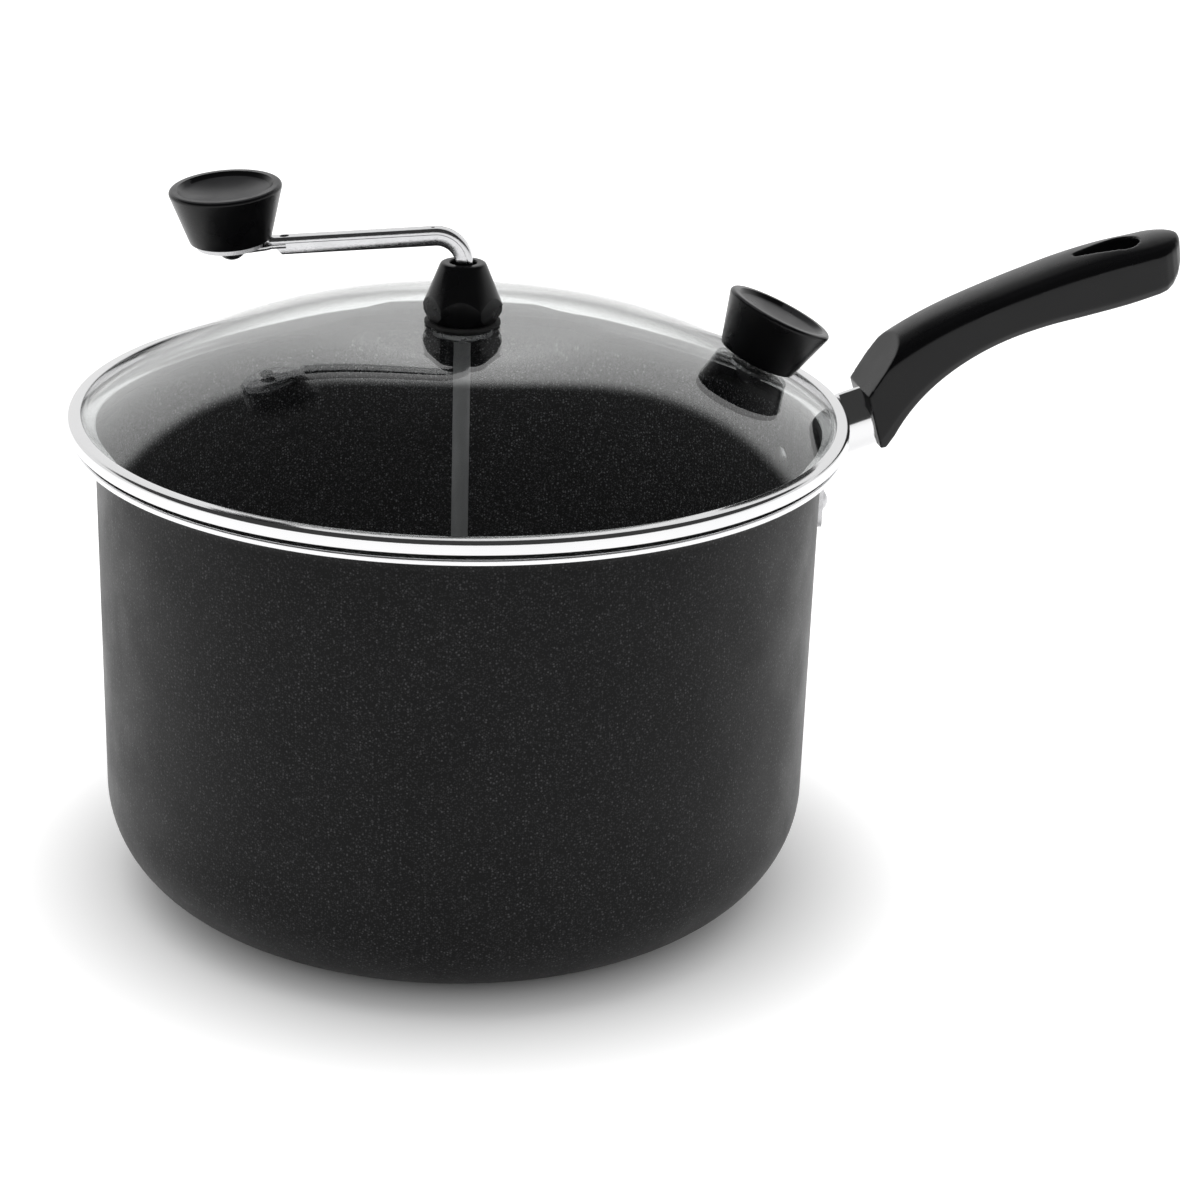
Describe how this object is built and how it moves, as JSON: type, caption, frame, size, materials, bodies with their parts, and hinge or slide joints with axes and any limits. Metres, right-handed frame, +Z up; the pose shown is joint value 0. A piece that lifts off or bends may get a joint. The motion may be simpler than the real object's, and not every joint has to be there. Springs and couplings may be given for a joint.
{
  "type": "stovetop popcorn popper",
  "caption": "Straight-sided stovetop pot with a long riveted handle, a domed glass lid in a steel rim, and a hand crank through the lid that turns stirring wires over the pot's floor.",
  "frame": {"origin": "centre of the face the pot rests on, on the axis of the pot and of the crank's shaft", "axes": "+Z up along the pot's axis, +X towards the end of the long handle, +Y to the left of the handle seen from the pot"},
  "size_m": [0.3698, 0.253, 0.2361],
  "materials": {
    "nonstick_coat": "satin charcoal non-stick coat with fine light speckles, on formed aluminium",
    "black_bakelite": "moulded black bakelite, satin",
    "bright_steel": "polished stainless steel",
    "plain_steel": "plain stainless steel",
    "clear_glass": "clear toughened glass",
    "black_seal": "matt black silicone",
    "brass_insert": "turned brass"
  },
  "bodies": {
    "pot": {"pot_body": "nonstick_coat", "handle_bracket": "bright_steel", "bracket_rivets": "bright_steel", "handle_ferrule": "bright_steel", "long_handle": "black_bakelite", "handle_screw": "plain_steel"},
    "lid": {"glass_lid": "clear_glass", "lid_rim": "bright_steel", "hub_nut": "black_bakelite", "hub_bushing": "plain_steel", "hub_seal_upper": "black_seal", "hub_seal_lower": "black_seal", "lid_knob": "black_bakelite", "lid_knob_insert": "brass_insert", "lid_knob_seal_upper": "black_seal", "lid_knob_seal_lower": "black_seal", "lid_knob_washer": "plain_steel", "lid_knob_screw": "plain_steel"},
    "crank": {"crank_rod": "bright_steel", "stop_collar": "plain_steel", "thrust_washer": "plain_steel", "retaining_clip": "plain_steel", "stirrer_hub": "plain_steel", "stirrer_grub_screw": "plain_steel", "stirrer_wire_lower": "plain_steel", "stirrer_wire_upper": "plain_steel"},
    "knob": {"crank_knob": "black_bakelite", "crank_knob_insert": "brass_insert", "crank_knob_washer": "plain_steel", "crank_knob_screw": "bright_steel"}
  },
  "joints": [
    {"name": "lid_lift", "type": "slide", "parent": "pot", "child": "lid", "axis": [0, 0, 1], "range_m": [0, 0.2]},
    {"name": "crank_turn", "type": "hinge", "parent": "lid", "child": "crank", "pos_m": [0, 0, 0.2], "axis": [0, 0, 1], "continuous": true},
    {"name": "knob_spin", "type": "hinge", "parent": "crank", "child": "knob", "pos_m": [-0.07262, 0.0128, 0.21361], "axis": [-0.0943, -0.0542, 0.9941], "continuous": true}
  ]
}
